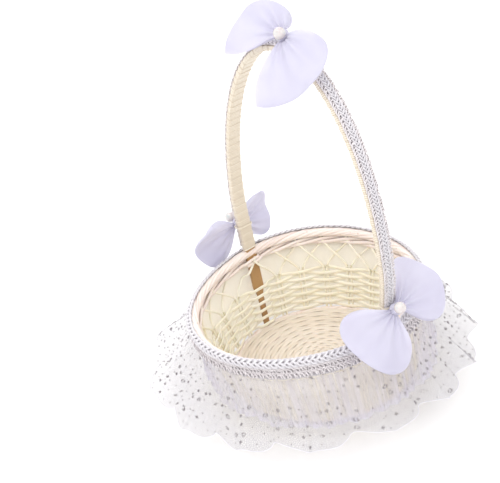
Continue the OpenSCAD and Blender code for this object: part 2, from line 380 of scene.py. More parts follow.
def cloth(name, shade, shadow, alpha, thread, roughness=0.6, sheen=0.3, translucent=0.35,
          streaks=0.0):
    """A thin fabric with a fine weave that lets part of the light through."""
    m = Shader(name)
    over = m.add("ShaderNodeTexWave", [("Vector", m.place((1, 1, 1))), ("Scale", 1 / thread)],
                 bands_direction="X").outputs["Fac"]
    under = m.add("ShaderNodeTexWave", [("Vector", m.place((1, 1, 1))), ("Scale", 1 / thread)],
                  bands_direction="Y").outputs["Fac"]
    weave = m.math("MAXIMUM", over, under)
    patch = m.noise(m.solid(60), detail=2)
    m.feed("Base Color", m.mix(m.spread(patch, 0.35, 0.7), shade, shadow))
    m.feed("Roughness", m.spread(weave, 0, 1, roughness - 0.08, roughness + 0.08))
    m.set(Sheen_Weight=sheen, Sheen_Roughness=0.4)
    m.bump(weave, 0.25, 0.00008)
    cover = m.spread(weave, 0, 1, max(0.0, alpha - 0.1), min(1.0, alpha + 0.1))
    if streaks:
        folded = m.noise(m.place((260, 6, 0)), detail=2)
        cover = m.math("ADD", cover, m.spread(folded, 0.4, 0.62, -streaks, streaks))
    see_through(m, shade, translucent, cover)
    return m.material


def net(name, shade, hole, low, high):
    """Tulle: a fine net of small holes between thin threads."""
    m = Shader(name)
    cells = m.add("ShaderNodeTexVoronoi", [("Vector", m.place((1, 1, 1))), ("Scale", 1 / hole)],
                  feature="DISTANCE_TO_EDGE", voronoi_dimensions="2D").outputs["Distance"]
    threads = m.spread(cells, 0.06, 0.16, 1, 0)
    m.set(Base_Color=shade, Roughness=0.5, Sheen_Weight=0.25, Sheen_Roughness=0.4)
    see_through(m, shade, 0.4, m.spread(threads, 0, 1, low, high))
    return m.material


def twisted_yarn(name, dark, light, pitch, metallic=0.0, roughness=0.4, lap=0.0):
    """Shiny yarn whose fine threads run slantwise around it. Its colour is painted shade in the
    grooves between the plies and painted highlight on their crests, with random dark flecks, and a
    painted shade line at the step of every lap.
    """
    m = Shader(name)
    source = m.add("ShaderNodeAttribute", attribute_name="place")
    parts = m.add("ShaderNodeSeparateXYZ", [("Vector", source.outputs["Vector"])])
    run = m.math("DIVIDE", parts.outputs["X"], pitch)
    phase = m.math("ADD", run, parts.outputs["Y"])
    ply = m.math("PINGPONG", m.math("MULTIPLY", phase, 2.0), 1.0)
    fleck = m.noise(m.solid(900), detail=2)
    # dark in the grooves and light on the crests of the plies: painted shade and painted highlight
    # that follow the ply's relief
    shade = m.mix(m.spread(ply, 0.0, 0.6), dark, light)
    shade = m.mix(m.spread(fleck, 0.35, 0.7, 0, 0.35), shade, dark)
    # a darker line near the end of each lap: painted shade at the step where one turn of tape
    # overlaps the next
    if lap:
        share = m.math("FRACT", m.math("DIVIDE", parts.outputs["X"], lap))
        shade = m.mix(m.spread(share, 0.8, 0.98, 0, 0.5), shade, dark)
    m.feed("Base Color", shade)
    m.feed("Roughness", m.spread(fleck, 0.3, 0.7, roughness - 0.1, roughness + 0.15))
    m.set(Metallic=metallic, Sheen_Weight=0.2, Sheen_Roughness=0.35)
    m.bump(ply, 0.6, 0.00015)
    return m.material


def pearl_look():
    """Pearl: a soft white body under a glossy skin with a faint play of pink and green."""
    m = Shader("pearl")
    drift = m.noise(m.solid(260), detail=2)
    m.feed("Base Color", m.ramp(drift, (0.3, colour(205, 194, 195)), (0.5, colour(217, 210, 207)),
                                (0.7, colour(198, 203, 202))))
    m.feed("Roughness", m.spread(m.noise(m.solid(900)), 0.3, 0.7, 0.16, 0.3))
    m.set(Coat_Weight=0.8, Coat_Roughness=0.12, Subsurface_Weight=0.25,
          Subsurface_Radius=(0.0015, 0.0013, 0.0012), Specular_IOR_Level=0.6)
    m.bump(m.noise(m.solid(1500), detail=1), 0.08, 0.0001)
    return m.material


def sequin_look():
    """Glitter dots: small silvery flakes of different tones."""
    m = Shader("glitter")
    tone = m.noise(m.place((0, 0, 613)), scale=1.0, detail=0)
    m.feed("Base Color", m.ramp(tone, (0.3, colour(122, 115, 118)), (0.5, colour(150, 144, 147)),
                                (0.7, colour(190, 186, 190))))
    m.feed("Roughness", m.spread(m.noise(m.solid(2500)), 0.3, 0.7, 0.25, 0.5))
    m.bump(m.noise(m.solid(3000), detail=1), 0.4, 0.00008)
    return m.material


def floor_look():
    """Pale studio paper."""
    m = Shader("floor")
    m.feed("Base Color", m.mix(m.noise(m.solid(3), detail=2), colour(250, 250, 250),
                               colour(253, 253, 253)))
    m.set(Roughness=0.9, Specular_IOR_Level=0.1)
    return m.material


wall_cane = fibre("wall_cane", colour(246, 236, 208), colour(252, 246, 227),
                  colour(254, 251, 240), colour(240, 222, 196))
rim_cane = fibre("rim_cane", colour(232, 210, 200), colour(243, 230, 222),
                 colour(249, 242, 236), colour(206, 172, 158))
floor_cane = fibre("floor_cane", colour(222, 209, 192), colour(233, 222, 208),
                   colour(247, 241, 232), colour(214, 194, 172))
bamboo = fibre("bamboo", colour(150, 108, 66), colour(179, 140, 92), colour(200, 164, 116),
               colour(112, 76, 44), roughness=0.45)
# In these twisted yarns the dark colour is painted shade in the grooves between plies, and the light
# colour is painted highlight on their crests.
tape = twisted_yarn("wound_tape", colour(196, 180, 158), colour(236, 227, 211), 0.0012,
                    lap=TAPE_PITCH)
gimp_cord = twisted_yarn("gimp_cord", colour(182, 177, 182), colour(231, 228, 232), 0.0045,
                         roughness=0.32)
gimp_yarn = twisted_yarn("gimp_yarn", colour(180, 172, 174), colour(242, 236, 238), 0.0028,
                         metallic=0.05, roughness=0.35)
# the ground's colours are set darker than the cords' as painted shade in the gaps between the cords
gimp_ground_gap_shade = twisted_yarn("gimp_ground_gap_shade", colour(150, 142, 145), colour(184, 176, 179), 0.0010,
                           roughness=0.6)
lining_cloth = cloth("lining_cloth", colour(254, 249, 232), colour(253, 246, 222), 1.0, 0.0007,
                     translucent=0.6, sheen=0.1)
lavender_organza = cloth("lavender_organza", colour(243, 240, 255), colour(231, 226, 247), 0.38,
                         0.0006, roughness=0.4, streaks=0.22)
heading_organza = cloth("heading_organza", colour(232, 222, 228), colour(214, 198, 202), 0.66,
                        0.0006, roughness=0.45)
bow_organza = cloth("bow_organza", colour(224, 222, 236), colour(216, 213, 230), 0.95, 0.0005,
                    roughness=0.42, sheen=0.4)
tulle = net("tulle", colour(202, 200, 205), 0.0010, 0.24, 0.84)
tie_thread = twisted_yarn("tie_thread", colour(214, 200, 176), colour(244, 236, 220), 0.0008)
hem_thread = twisted_yarn("hem_thread", colour(206, 202, 212), colour(240, 238, 244), 0.0006)
pearl_skin = pearl_look()
glitter = sequin_look()


# ---- Cane basket ----

SWING = 0.00145       # how far a weaver moves in and out around the stakes
WEAVER = oval(0.0006, 0.00121, 12)
PAIR_NUMBERS = [i for i in range(PAIRS) if i % (PAIRS // 2)]


def strip_share(turn, full=0.078, none=0.125):
    """1 where a handle strip stands in the wall, easing to 0 on each side of it."""
    away = np.abs(np.arcsin(np.clip(np.sin(turn), -1, 1)))
    return smooth((none - away) / (none - full))


def weaver_off(turn, side):
    """How far out a weaver runs: in front of one pair and behind the next."""
    at_strip = STRIP_OFF + side * (STRIP_T / 2 + 0.0006 + CANE_GAP)
    share = strip_share(turn)
    return side * SWING * np.cos(PAIRS / 2 * turn) * (1 - share) + at_strip * share


def lower_weave():
    """Rows of flat cane, each over one stake pair and under the next."""
    rows = 11
    turn = around(480)
    pitch = (weave_high.z - weave_low.z) / rows
    parts = []
    for row in range(rows):
        side = 1 if row % 2 else -1
        sag = 0.00013 * wobble(turn, (2, 3, 5, 7), 20 + row)
        z = weave_low.z + pitch * (row + 0.5) + sag
        off = weaver_off(turn, side) + 0.00008 * wobble(turn, (9, 14), 40 + row)
        parts.append(sweep(wall(turn, z, off), outward(turn), WEAVER, True, row / rows))
    return parts


def side_stakes():
    """Pairs of upright stakes through the woven wall."""
    parts = []
    for i in PAIR_NUMBERS:
        for side in (-1, 1):
            z = np.linspace(foot_low.z + 0.0012, weave_high.z + 0.0012, 12)
            turn = np.full(12, i * TAU / PAIRS + side * PAIR_HALF / FOOT_R)
            bend = 0.0002 * np.sin(z / 0.0037 * math.pi + i)
            parts.append(sweep(wall(turn, z, bend), outward(turn), oval(STAKE_R, STAKE_R),
                               tone=(2 * i + side) * 0.37))
    return parts


def crossing_stakes(way, z_high):
    """The same stakes above the weave, leaning one way to cross their neighbours."""
    s = np.linspace(0, 1, 26)
    z = weave_high.z + (z_high - weave_high.z) * s
    inside = STRIP_OFF - STRIP_T / 2 - STAKE_R - CANE_GAP - (STAKE_R + way * STAKE_R)
    parts = []
    for i in PAIR_NUMBERS:
        lean = 0.5 * smooth(s) + 0.5 * s
        turn = i * TAU / PAIRS + way * (PAIR_HALF / FOOT_R + TAU / PAIRS * lean)
        share = strip_share(turn)
        off = -way * (0.0010 * np.sin(math.pi * s) + 0.0003)
        off = off * (1 - share) + inside * share
        parts.append(sweep(wall(turn, z, off), outward(turn), oval(STAKE_R, STAKE_R),
                           tone=(2 * i + way) * 0.37))
    return parts


def upper_weave():
    """Three plain strands twined around the stakes below the rim."""
    turn = around(480)
    middle = (plain_low.z + plain_high.z) / 2
    parts = []
    for strand in range(3):
        a = 8 * turn + strand * TAU / 3
        z = middle + 0.0014 * np.sin(a)
        share = strip_share(turn)
        clear = STRIP_OFF + np.where(np.cos(a) > 0, 1, -1) * (STRIP_T / 2 + 0.0008)
        off = 0.0014 * np.cos(a) * (1 - share) + clear * share
        parts.append(sweep(wall(turn, z, off), outward(turn), oval(0.0009, 0.0012), True,
                           strand * 0.3))
    return parts


def twisted_ring(strands, twists, middle, spread, strand_r, steps, seed):
    """Canes laid around each other in a closed ring. middle gives the ring's line, out and
    up from it by the two given amounts."""
    turn = around(steps)
    parts = []
    for strand in range(strands):
        a = twists * turn + strand * TAU / strands + 0.25 * wobble(turn, (2, 3, 5), seed + strand)
        path = middle(turn, spread * np.cos(a), spread * np.sin(a))
        parts.append(sweep(path, outward(turn), oval(strand_r, strand_r), True, strand * 0.21))
    return parts


def rim_border():
    """The rolled rim: seven canes laid around each other on long twists."""
    def line(turn, out, up):
        return wall(turn, RIM_Z + up, out)
    return twisted_ring(7, 8, line, RIM_R - 0.00120, 0.00120, 540, 3)


def foot_border():
    """The foot: four canes laid around each other under the wall."""
    reach = foot_high.x - foot_high.z / 2

    def line(turn, out, up):
        return np.stack([(reach + out) * np.cos(turn), (reach + out) * np.sin(turn),
                         foot_high.z / 2 + up], -1)
    return twisted_ring(4, 14, line, foot_high.z / 2 - 0.00125, 0.00125, 480, 9)


def base_weave():
    """The floor: rings of cane woven over and under the spokes."""
    rings = 19
    turn = around(288)
    reach = FOOT_R - WALL_T / 2 - 0.001
    start = hub_high.x + 0.001
    middle = (foot_high.z + hub_high.z) / 2 + 0.0001
    parts = []
    for ring in range(rings):
        r = start + (reach - start) * ring / (rings - 1)
        side = 1 if ring % 2 else -1
        z = middle + side * 0.0004 * np.sin(PAIRS / 2 * turn)
        path = np.stack([r * np.cos(turn), r * np.sin(turn), z], -1)
        parts.append(sweep(path, outward(turn), oval(0.00150, 0.0006, 10), True, ring * 0.17))
    return parts


def base_spokes():
    """Spokes that carry the floor, from the hub out to the foot."""
    parts = []
    z = hub_high.z + 0.0004 - STAKE_R
    for i in range(PAIRS):
        turn = (i + 0.5) * TAU / PAIRS
        r = np.linspace(hub_high.x - 0.002, spoke_high.x, 14)
        path = np.stack([r * math.cos(turn), r * math.sin(turn), np.full(14, z)], -1)
        out = np.tile([0.0, 0.0, 1.0], (14, 1))
        parts.append(sweep(path, out, oval(STAKE_R, STAKE_R), tone=i * 0.41))
    return parts


def base_hub():
    """The middle of the floor: two crossed layers of short canes."""
    canes = 8
    cane_r = hub_high.x / canes
    parts = []
    for layer in range(2):
        z = cane_r * 0.6 + layer * 0.0012
        for k in range(canes):
            across = (2 * k + 1 - canes) * cane_r
            half = math.sqrt((hub_high.x + 0.001) ** 2 - across ** 2)
            run = np.linspace(-half, half, 10)
            side = np.full(10, across)
            path = [run, side] if layer else [side, run]
            path = np.stack([*path, np.full(10, z)], -1)
            out = np.tile([0.0, 0.0, 1.0], (10, 1))
            parts.append(sweep(path, out, oval(0.0006, cane_r * 0.94), tone=k * 0.3 + layer))
    return parts


piece("foot_canes", foot_border(), rim_cane, ["foot_border"])
piece("hub_canes", base_hub(), floor_cane, ["base_hub"])
piece("spoke_canes", base_spokes(), floor_cane, ["base_spokes"])
piece("floor_weavers", base_weave(), floor_cane, ["base_weave"])
piece("stakes", side_stakes(), wall_cane, ["side_stakes"])
piece("wall_weavers", lower_weave(), wall_cane, ["lower_weave"])
piece("openwork_inner", crossing_stakes(1, plain_high.z), wall_cane, ["lattice_inner"])
piece("openwork_outer", crossing_stakes(-1, plain_high.z), wall_cane,
      ["lattice_outer"])
piece("plain_strands", upper_weave(), rim_cane, ["upper_weave"])
piece("rim_canes", rim_border(), rim_cane, ["rim_border"])


# ---- Handle ----

def arch(low, step):
    """Points of the strip's middle line, from one leg over the top to the other, and the
    directions out from the arch."""
    spring_x = side_reach(SPRING_Z) + STRIP_OFF
    z = np.linspace(low, SPRING_Z, 40)
    leg = np.stack([side_reach(z) + STRIP_OFF, np.zeros(40), z], -1)
    a = np.linspace(0, math.pi, 400)[1:]
    top = np.stack([spring_x * np.cos(a), np.zeros(len(a)),
                    SPRING_Z + (HANDLE_Z - SPRING_Z) * np.sin(a)], -1)
    whole = np.concatenate([leg, top, (leg * [-1, 1, 1])[::-1][1:]])
    length = run_of(whole)
    even = np.linspace(0, length[-1], int(length[-1] / step))
    path = np.stack([np.interp(even, length, whole[:, k]) for k in range(3)], -1)
    along = unit(np.gradient(path, axis=0))
    return path, np.cross([0.0, 1.0, 0.0], along)


def handle_strip():
    """The bamboo strip, split flat with rounded edges."""
    path, out = arch(strip_low.z, 0.002)
    narrow = 1 - 0.5 * smooth((weave_high.z - path[:, 2]) / 0.008)
    outline = block(STRIP_T / 2, STRIP_W / 2) * np.stack([np.ones_like(narrow), narrow], -1)[:, None]
    return [sweep(path, out, outline)]


def handle_wrap():
    """Tape wound along the strip. Each turn laps the one before it."""
    path, out = arch(wrap_low.z, TAPE_PITCH / 14)
    step = np.linalg.norm(np.diff(path, axis=0), axis=1)[0]
    outline = block(1, 1, 28)[None]
    run = np.arange(len(path))[:, None] * step
    lap = run / TAPE_PITCH % 1
    thick = WRAP_T * (0.5 + 0.5 * (1 - lap) ** 0.6)
    outline = np.stack([outline[..., 0] * (STRIP_T / 2 + thick),
                        outline[..., 1] * (STRIP_W / 2 + thick)], -1)
    return [sweep(path, out, outline)]


def plait(length, place, centre, half, cords, period, cord_r, thick, closed):
    """Flat cords plaited into a herringbone, centre and half wide across the surface."""
    repeats = round(length / period)
    steps = repeats * 22
    along = np.arange(steps if closed else steps + 1) * length / steps
    parts = []
    for cord in range(cords):
        a = along * repeats / length * TAU + cord * TAU / cords
        across = centre + (half - cord_r) * np.sin(a)
        high = thick * (0.5 + 0.24 * np.sin(2 * a))
        path = place(along, across, high)
        out = place(along, across, high + 0.001) - path
        parts.append(sweep(path, out, oval(thick * 0.27, cord_r, 8), closed, cord * 0.31))
    return parts


def curls(length, place, centre, half, period, cord_r, thick, closed, start=0.0):
    """One cord laid in small uneven loops that lap each other along the surface."""
    repeats = round(length / period)
    steps = repeats * 14
    along = np.arange(steps if closed else steps + 1) * length / steps
    a = along * repeats / length * TAU + start
    drift = wobble(along * TAU / length, (31, 53, 86, 131), int(20 + 7 * start))
    run = along + period * (0.42 * np.sin(a) + 0.16 * drift)
    run = run if closed else np.clip(run, 0, length)
    across = centre + (half - cord_r) * np.cos(a) * (0.88 + 0.12 * drift)
    high = thick * (0.46 + 0.26 * np.sin(a))
    path = place(run, across, high)
    out = place(run, across, high + 0.001) - path
    return [sweep(path, out, oval(thick * 0.2, cord_r, 6), closed, start)]


def ground(length, place, half, thick, closed):
    """The thin woven band that carries the cords. Its material is painted dark, as the shade in the
    gaps between the cords.
    """
    steps = round(length / 0.002)
    along = np.arange(steps if closed else steps + 1) * length / steps
    share = np.linspace(-1, 1, 9)
    across = np.concatenate([share, share[::-1]]) * half
    high = np.concatenate([np.full(9, thick * 0.16), np.full(9, 0.00002)])
    rows = [place(along, np.full(len(along), a), np.full(len(along), h))
            for a, h in zip(across, high)]
    points = np.stack(rows, 1)
    run = np.broadcast_to(along[:, None], points.shape[:2])
    place_of = np.stack([run, np.broadcast_to(across / half, run.shape), 0 * run], -1)
    faces = grid_faces(*points.shape[:2], close_rows=closed, close_columns=True)[:, ::-1].tolist()
    if not closed:
        sides = len(across)
        faces.append(list(range(sides - 1, -1, -1)))
        faces.append(list(range(steps * sides, (steps + 1) * sides)))
    return [(points.reshape(-1, 3), faces, place_of.reshape(-1, 3))]


def leg_place(path, out):
    """Places on the handle's outer face, by length along it."""
    length = run_of(path)

    def place(along, across, high):
        middle = np.stack([np.interp(along, length, path[:, k]) for k in range(3)], -1)
        lift = np.stack([np.interp(along, length, out[:, k]) for k in range(3)], -1)
        height = (STRIP_T / 2 + WRAP_T + high)[:, None]
        return middle + lift * height + np.array([0.0, -1.0, 0.0]) * across[:, None]
    return length[-1], place


def rim_place():
    """Places on the rim's outer side, by length around it. The gimp's upper part wraps over
    the rim, and stops lower beside the handle. Its curls hang over the ruffle's heading."""
    turn = np.linspace(0, TAU, 1441)
    line = wall(turn, RIM_Z, RIM_R)
    length = run_of(line)

    def place(along, across, lift):
        a = np.interp(along % length[-1], length, turn)
        r = RIM_R + 0.0002 + lift
        up = across + RIM_HALF - CURL_HANG
        r = r + CURL_FLARE * smooth((-up - FLARE_START) / FLARE_RUN)
        near = strip_share(a, 0.10, 0.20)
        tilt = np.maximum(up, 0) / GIMP_ARC * (GIMP_HIGH - (GIMP_HIGH - GIMP_BY_HANDLE) * near)
        return wall(a, RIM_Z + np.minimum(up, 0) + r * np.sin(tilt), r * np.cos(tilt))
    return length[-1], place


LEG_HALF = BRAID_W / 2
GIMP_HIGH = math.radians(95)
GIMP_BY_HANDLE = math.radians(58)
GIMP_ARC = GIMP_HIGH * (RIM_R + BRAID_T / 2)
CURL_HANG = GIMP_HANG + 0.0034  # how far the loose curls reach below the rim's middle
CURL_FLARE = 0.0024             # how far the curls stand out to pass over the heading
FLARE_START = 0.0035            # where the flare starts, below the rim's middle
FLARE_RUN = 0.004               # the drop over which it builds up
RIM_HALF = (CURL_HANG + GIMP_ARC) / 2
leg_length, on_leg = leg_place(*arch(braid_low.z, 0.001))
rim_length, on_rim = rim_place()


def handle_plait():
    return plait(leg_length, on_leg, 0.0, LEG_HALF * 0.60, 5, 0.012, 0.00060, BRAID_T, False)


def handle_curls():
    """Rows of curls along both edges of the handle's gimp."""
    parts = []
    for side in (-1, 1):
        for start in (0.0, 2.6):
            parts += curls(leg_length, on_leg, side * LEG_HALF * 0.68, LEG_HALF * 0.46, 0.0036,
                           0.00044, BRAID_T, False, side + start)
    return parts


def rim_plait():
    return plait(rim_length, on_rim, RIM_HALF * 0.54, RIM_HALF * 0.46, 5, 0.019, 0.00080,
                 BRAID_T, True)


def rim_curls():
    """Two rows of hanging curls under the rim's plait."""
    parts = []
    for centre in (-0.20, -0.66):
        for start in (0.0, 3.0):
            parts += curls(rim_length, on_rim, RIM_HALF * centre, RIM_HALF * 0.34, 0.0046,
                           0.00054, BRAID_T, True, start - centre)
    return parts


piece("handle_bamboo", handle_strip(), bamboo, ["handle_strip"])
piece("handle_tape", handle_wrap(), tape, ["handle_wrap"])
piece("handle_gimp_plait", handle_plait(), gimp_cord, ["handle_braid"])
piece("handle_gimp_curls", handle_curls(), gimp_yarn, ["handle_braid"])
piece("handle_gimp_ground", ground(leg_length, on_leg, LEG_HALF * 0.86, BRAID_T, False),
      gimp_ground_gap_shade, ["handle_braid"])
piece("rim_gimp_plait", rim_plait(), gimp_cord, ["rim_braid"])
piece("rim_gimp_curls", rim_curls(), gimp_yarn, ["rim_braid"])
piece("rim_gimp_ground", ground(rim_length, on_rim, RIM_HALF * 0.93, BRAID_T, True),
      gimp_ground_gap_shade, ["rim_braid"])


# ---- Fabric on the wall ----

def lining():
    """The cloth backing against the outside of the openwork."""
    turn = around(360)[:, None]
    s = np.linspace(0, 1, 20)[None]
    z = lining_low.z + (lining_high.z - lining_low.z) * s
    ripple = 0.0003 * (1 + wobble(turn + 0.2 * s, (24, 37), 5)) * np.sin(math.pi * s)
    return [sheet_of(wall(turn, z, LINING_OFF + ripple), True, flip=True)]


def gathers(turn, s, folds, seed):
    """Fine folds from a row of stitches that merge and fade on the way down."""
    fine = np.sin(folds * turn + 1.3 * wobble(turn, (3, 5, 8, 13), seed))
    broad = np.sin(folds / 2 * turn + 1.1 * wobble(turn, (4, 7, 11), seed + 1))
    return fine * (1 - smooth(s * 1.4)) + 1.3 * broad * smooth(s * 1.4)


def ruffle_heading():
    """The ruffle's gathered upper edge, sewn to the wall under the rim."""
    turn = around(1440)[:, None]
    s = np.linspace(0, 1, 9)[None]
    z = heading_high.z + (heading_low.z - heading_high.z) * s
    puff = 0.35 + 0.65 * np.sin(math.pi * s) ** 0.8
    fold = 0.0005 + 0.0005 * gathers(turn, 0 * s, 120, 71)
    off = LINING_OFF + LINING_T + 0.0003 + (0.0003 + fold) * puff
    return [sheet_of(wall(turn, z, off), True)]


def inner_ruffle():
    """The lavender organza layer: close gathers at the top, a rolled hem at the bottom."""
    turn = around(2160)[:, None]
    s = np.linspace(0, 1, 30)[None]
    flare = inner_high.x - side_reach(inner_low.z) - LINING_OFF - 0.003
    z = inner_high.z + (inner_low.z - inner_high.z) * s
    z = z + 0.0012 * s * wobble(turn, (5, 9, 14), 12)
    phase = 54 * turn + 1.5 * wobble(turn, (3, 5, 8, 13), 31)
    depth = 0.0008 + 0.0008 * s
    fold = depth * (np.sin(phase) + 0.25 * np.sin(2 * phase + 1))
    wave = 0.0012 * smooth(s) * wobble(turn, (12, 18, 25), 8)
    off = LINING_OFF + LINING_T + 0.0014 + flare * s ** 1.2 + fold + wave
    lap = turn + 0.0135 * (0.8 + 0.2 * s) * np.sin(2 * phase + 0.3)
    points = wall(lap, z, off)
    hem = wall(lap[:, -4:], z[:, -4:] + 0.0003, off[:, -4:] + 0.0005)
    return [sheet_of(points, True)], [sheet_of(hem, True)]


def hem_reach(turn, z):
    """How far the outer ruffle's hem stands out from the wall."""
    room = 0.0035
    across = outer_high.x - room - side_reach(z)
    front = np.where(np.sin(turn) < 0, -outer_low.y, outer_high.y) - room
    along = front - front_reach(turn, z)
    return across * np.cos(turn) ** 2 + along * np.sin(turn) ** 2


def outer_shape(turn, s):
    """Points of the tulle skirt at a turn, and a share s of the way down."""
    low = outer_low.z + 0.003
    high = outer_high.z
    deep = 15 * turn + 0.9 * wobble(turn, (1, 2, 3, 4), 51)
    fine = 47 * turn + 1.4 * wobble(turn, (3, 5, 7), 52)
    open_s = smooth(s * 1.15) ** 1.2
    z = high + (low - high) * s + 0.0022 * s * s * np.cos(deep + 0.5)
    off = LINING_OFF + LINING_T + 0.0026
    flat = hem_reach(turn, low) - off
    wave = 0.0036 * open_s * (np.sin(deep) + 0.35 * np.sin(2 * deep + 0.8))
    crease = 0.0007 * np.sin(fine) * (1 - 0.5 * s) + 0.0004 * gathers(turn, 0 * s, 110, 31) * (1 - s)
    off = off + flat * s ** 1.15 + wave + crease
    shift = 0.022 * open_s * np.sin(2 * deep + 0.4)
    return wall(turn + shift, z, off)


def outer_ruffle():
    turn = around(1440)[:, None]
    s = np.linspace(0, 1, 40)[None]
    return [sheet_of(outer_shape(turn, s), True)]


def outer_edge():
    """The thread that binds the tulle's hem."""
    turn = around(1440)
    path = outer_shape(turn[:, None], np.ones((1, 1)))[:, 0]
    return [sweep(path, np.tile([0.0, 0.0, 1.0], (1440, 1)), oval(0.00022, 0.00026, 6), True)]


def tulle_dots():
    """Glitter dots scattered over the tulle: small flakes with some larger clusters."""
    draw = np.random.default_rng(7)
    parts = []
    rows = 8
    for row in range(rows):
        count = 86 + 4 * row
        for k in range(count):
            turn = (k + 0.5 * (row % 2) + draw.uniform(-0.28, 0.28)) * TAU / count
            s = (row + 0.75 + draw.uniform(-0.25, 0.25)) / (rows + 0.3)
            kind = draw.random()
            petals = 7 if kind < 0.10 else 4 if kind < 0.28 else 1
            ring = {7: 0.00100, 4: 0.00060, 1: 0.0}[petals]
            for petal in range(petals):
                size = draw.uniform(0.00032, 0.00050)
                a = petal * TAU / petals + draw.uniform(-0.3, 0.3)
                middle_turn = turn + ring * math.cos(a) / 0.09
                middle_s = s + ring * math.sin(a) / 0.05
                parts.append(dot(middle_turn, middle_s, size, draw.random()))
    return parts


def dot(turn, s, size, tone):
    """One thick flake that lies on the tulle."""
    near = 0.002
    sample = np.array([[turn, s], [turn + near, s], [turn, s + near]])
    middle, right, down = outer_shape(sample[:, :1], sample[:, 1:])[:, 0]
    right = (right - middle) / np.linalg.norm(right - middle)
    out = np.cross(down - middle, right)
    out = out / np.linalg.norm(out)
    side = np.cross(out, right)
    a = around(8)[:, None]
    ring = right * np.cos(a) + side * np.sin(a)
    points = np.concatenate([middle - out * 0.0002 + ring * size,
                             middle + out * 0.0003 + ring * size * 0.8,
                             [middle + out * 0.00042]])
    faces = grid_faces(2, 8, close_columns=True).tolist()
    faces += [[8 + k, 8 + (k + 1) % 8, 16] for k in range(8)]
    faces.append(list(range(7, -1, -1)))
    return points, faces, np.tile([0.0, 0.0, tone], (len(points), 1))


skirt, hem = inner_ruffle()
backing = piece("lining_sheet", lining(), lining_cloth, ["lining_band"])
heading = piece("heading_gathers", ruffle_heading(), heading_organza,
                ["ruffle_heading"])
inner = piece("organza_ruffle", skirt, lavender_organza, ["inner_ruffle"])
inner_hem = piece("organza_hem", hem, lavender_organza, ["inner_ruffle"])
outer = piece("tulle_ruffle", outer_ruffle(), tulle, ["outer_ruffle"])
edge = piece("tulle_edge", outer_edge(), hem_thread, ["outer_ruffle"])
dots = piece("tulle_dots", tulle_dots(), glitter, ["outer_ruffle"])


# ---- Bows ----

PEARL_R = (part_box("top_pearl")[1].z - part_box("top_pearl")[0].z) / 2
KNOT_R = 0.003
LOOP_LEN = 0.038
LOOP_T = 0.007


def bow_frame(name, turn, tilt):
    """Turns and places a bow: its front, local +Z, faces round to turn and up by tilt."""
    low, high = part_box(name + "_pearl")
    turned = Matrix.Rotation(math.radians(turn), 4, "Z") \
        @ Matrix.Rotation(math.radians(90 - tilt), 4, "X")
    front = turned.to_3x3() @ Vector((0, 0, 1))
    at = (low + high) / 2 - front * (KNOT_R + PEARL_R)
    return np.array(Matrix.Translation(at) @ turned)


def placed(part, matrix):
    """A shape moved to where a matrix puts it."""
    points, faces, place = part
    return points @ matrix[:3, :3].T + matrix[:3, 3], faces, place


def rotated(x, y, degrees):
    """Two coordinates after a turn."""
    c, s = math.cos(math.radians(degrees)), math.sin(math.radians(degrees))
    return x * c - y * s, x * s + y * c


def bow_loop(turn, length, spread, skew=0.0, lift=0.0, twist=0.0, seed=0):
    """A ribbon loop: out from the knot, over at the tip and back. It opens like a fan, and
    soft folds run out from the pinched root."""
    q = np.linspace(0, 2, 65)[:, None]
    v = np.linspace(-1, 1, 73)[None]
    u = np.sin(q * math.pi / 2)
    side = np.cos(q * math.pi / 2)
    draw = np.random.default_rng(seed)
    phase = draw.uniform(-1, 1, 6)
    rounding = np.where(skew * v > 0.1, 0.03, 0.15) * v ** 8
    edge = 1 - 0.05 * v * v + skew * v - rounding
    reach = KNOT_R + (length * edge - KNOT_R) * u
    reach = reach * (1 + 0.018 * u * np.cos(4.2 * v + 2 * phase[0] + 0.5 * side))
    half = LOOP_T / 2 * 1.2 * u ** 0.55 * side * (1 - 0.3 * v * v)
    fold = 0.0023 * np.cos(1.55 * math.pi * v + 1.2 * phase[1] + 0.35 * side)
    crease = 0.0016 * np.cos(4.6 * math.pi * v + 3 * phase[2] + 1.2 * side)
    crease = crease * np.clip(1.1 - u, 0, 1) ** 1.5
    ripple = 0.0003 * np.cos(3.3 * math.pi * v + 3 * phase[3] + 2.5 * u + side)
    rise = lift * np.sin(math.pi / 2 * np.sqrt(u)) - 0.0035 * u * u * v * v
    high = half + rise + fold * u ** 0.8 + crease * u ** 0.35 + ripple * u
    bulge = 1 + 0.14 * np.sin(math.pi * u)
    fan = math.radians(spread) * (v * bulge + 0.09 * side * u * (1 - 0.5 * v * v))
    across = reach * np.sin(fan)
    along = reach * np.cos(fan)
    across, high = rotated(across, high, twist)
    x, y = rotated(along, across, turn)
    return sheet_of(np.stack(np.broadcast_arrays(x, y, high), -1), flip=True)


def knot():
    """The bow's middle: a short roll of ribbon with creases across it."""
    across = np.linspace(-1, 1, 25)
    path = np.stack([np.zeros(25), across * KNOT_R * 1.25, np.zeros(25)], -1)
    out = np.tile([0.0, 0.0, 1.0], (25, 1))
    a = around(36)[None]
    w = across[:, None]
    bulge = np.sqrt(np.clip(1 - 0.92 * w ** 4, 0, 1))
    crease = 1 - 0.07 * np.cos(9 * w + 0.8 * np.cos(a)) - 0.04 * np.cos(17 * w + 2 * np.sin(a))
    r = KNOT_R * bulge * crease
    outline = np.stack([r * np.cos(a) * 0.97, r * np.sin(a) * 1.1], -1)
    return sweep(path, out, outline)


def tie(middle, out, up, half_out, half_side):
    """Two turns of thread around the handle, which hold a bow in place."""
    sides = 72
    steps = 2 * sides + 1
    a = np.linspace(0, 2 * TAU, steps)
    edge = block(1, 1, sides, 0.4)[np.arange(steps) % sides]
    path = middle + edge[:, :1] * out * half_out \
        + edge[:, 1:] * np.array([0.0, 1.0, 0.0]) * half_side
    path = path + up * (0.0005 * (a / TAU - 1))[:, None]
    return sweep(path, path - middle, oval(0.0003, 0.00034, 8))


